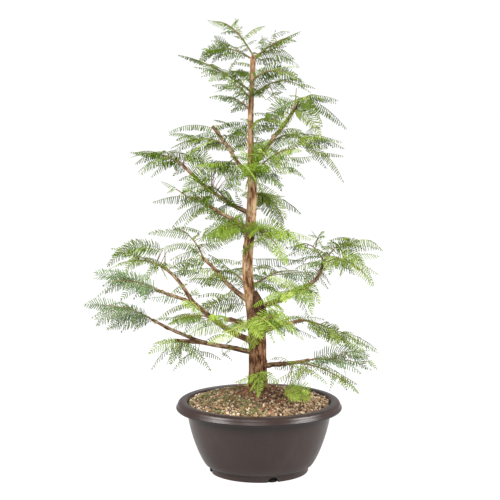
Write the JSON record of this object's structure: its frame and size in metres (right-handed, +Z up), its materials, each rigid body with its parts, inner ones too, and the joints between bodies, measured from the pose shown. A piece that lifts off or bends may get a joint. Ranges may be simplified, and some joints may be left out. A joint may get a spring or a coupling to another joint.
{
  "type": "dawn redwood bonsai in a training pot",
  "caption": "Young dawn redwood trained as a bonsai, with a forked trunk and feathery side fronds, in a round plastic pot of granular soil.",
  "frame": {"origin": "middle of the pot's flat underside", "axes": "+Z up along the trunk, -Y towards the front of the tree, +X to the right as seen from the front"},
  "size_m": [0.5113, 0.4555, 0.8126],
  "materials": {
    "pot": "dark grey-brown moulded plastic, slightly worn",
    "soil": "mixed tan, orange-brown and dark grains, matt",
    "bark": "fibrous red-brown bark in upright strips",
    "foliage_bright": "fresh yellow-green soft needles",
    "foliage_green": "mid green soft needles",
    "foliage_shade": "darker blue-green soft needles"
  },
  "bodies": {
    "root": {"bough_back_left": "bark", "bough_back_right": "bark", "bough_front": "bark", "bough_left": "bark", "bough_left_fork_front": "bark", "bough_left_fork_up": "bark", "bough_low_left": "bark", "bough_low_left_fork": "bark", "bough_low_right": "bark", "bough_mid_front_left": "bark", "bough_mid_left": "bark", "bough_mid_right": "bark", "bough_right": "bark", "bough_right_rise": "bark", "mass_back": "foliage_green", "mass_back_left": "foliage_green", "mass_back_right": "foliage_green", "mass_back_right_up": "foliage_shade", "mass_centre": "foliage_bright", "mass_centre_right": "foliage_bright", "mass_crown_back": "foliage_green", "mass_crown_left": "foliage_green", "mass_crown_right": "foliage_green", "mass_foot": "foliage_bright", "mass_front": "foliage_bright", "mass_front_left": "foliage_bright", "mass_leader": "foliage_green", "mass_left": "foliage_green", "mass_left_front": "foliage_shade", "mass_low_back": "foliage_shade", "mass_low_left": "foliage_shade", "mass_low_left_under": "foliage_green", "mass_low_right": "foliage_shade", "mass_low_right_front": "foliage_green", "mass_mid_back": "foliage_green", "mass_mid_front": "foliage_bright", "mass_mid_front_left": "foliage_green", "mass_mid_front_low": "foliage_bright", "mass_mid_left": "foliage_green", "mass_mid_left_inner": "foliage_green", "mass_mid_left_up": "foliage_green", "mass_right": "foliage_green", "mass_right_back": "foliage_green", "mass_right_front": "foliage_green", "mass_right_under": "foliage_bright", "mass_top_back": "foliage_green", "mass_top_front": "foliage_green", "mass_top_left": "foliage_green", "mass_top_right": "foliage_green", "mass_upper_back": "foliage_green", "mass_upper_front": "foliage_green", "mass_upper_front_left": "foliage_green", "mass_upper_left": "foliage_green", "mass_upper_right": "foliage_green", "mass_upper_right_back": "foliage_green", "pot": "pot", "soil": "soil", "stub_left": "bark", "stub_mid_left": "bark", "trunk": "bark"}
  },
  "joints": []
}
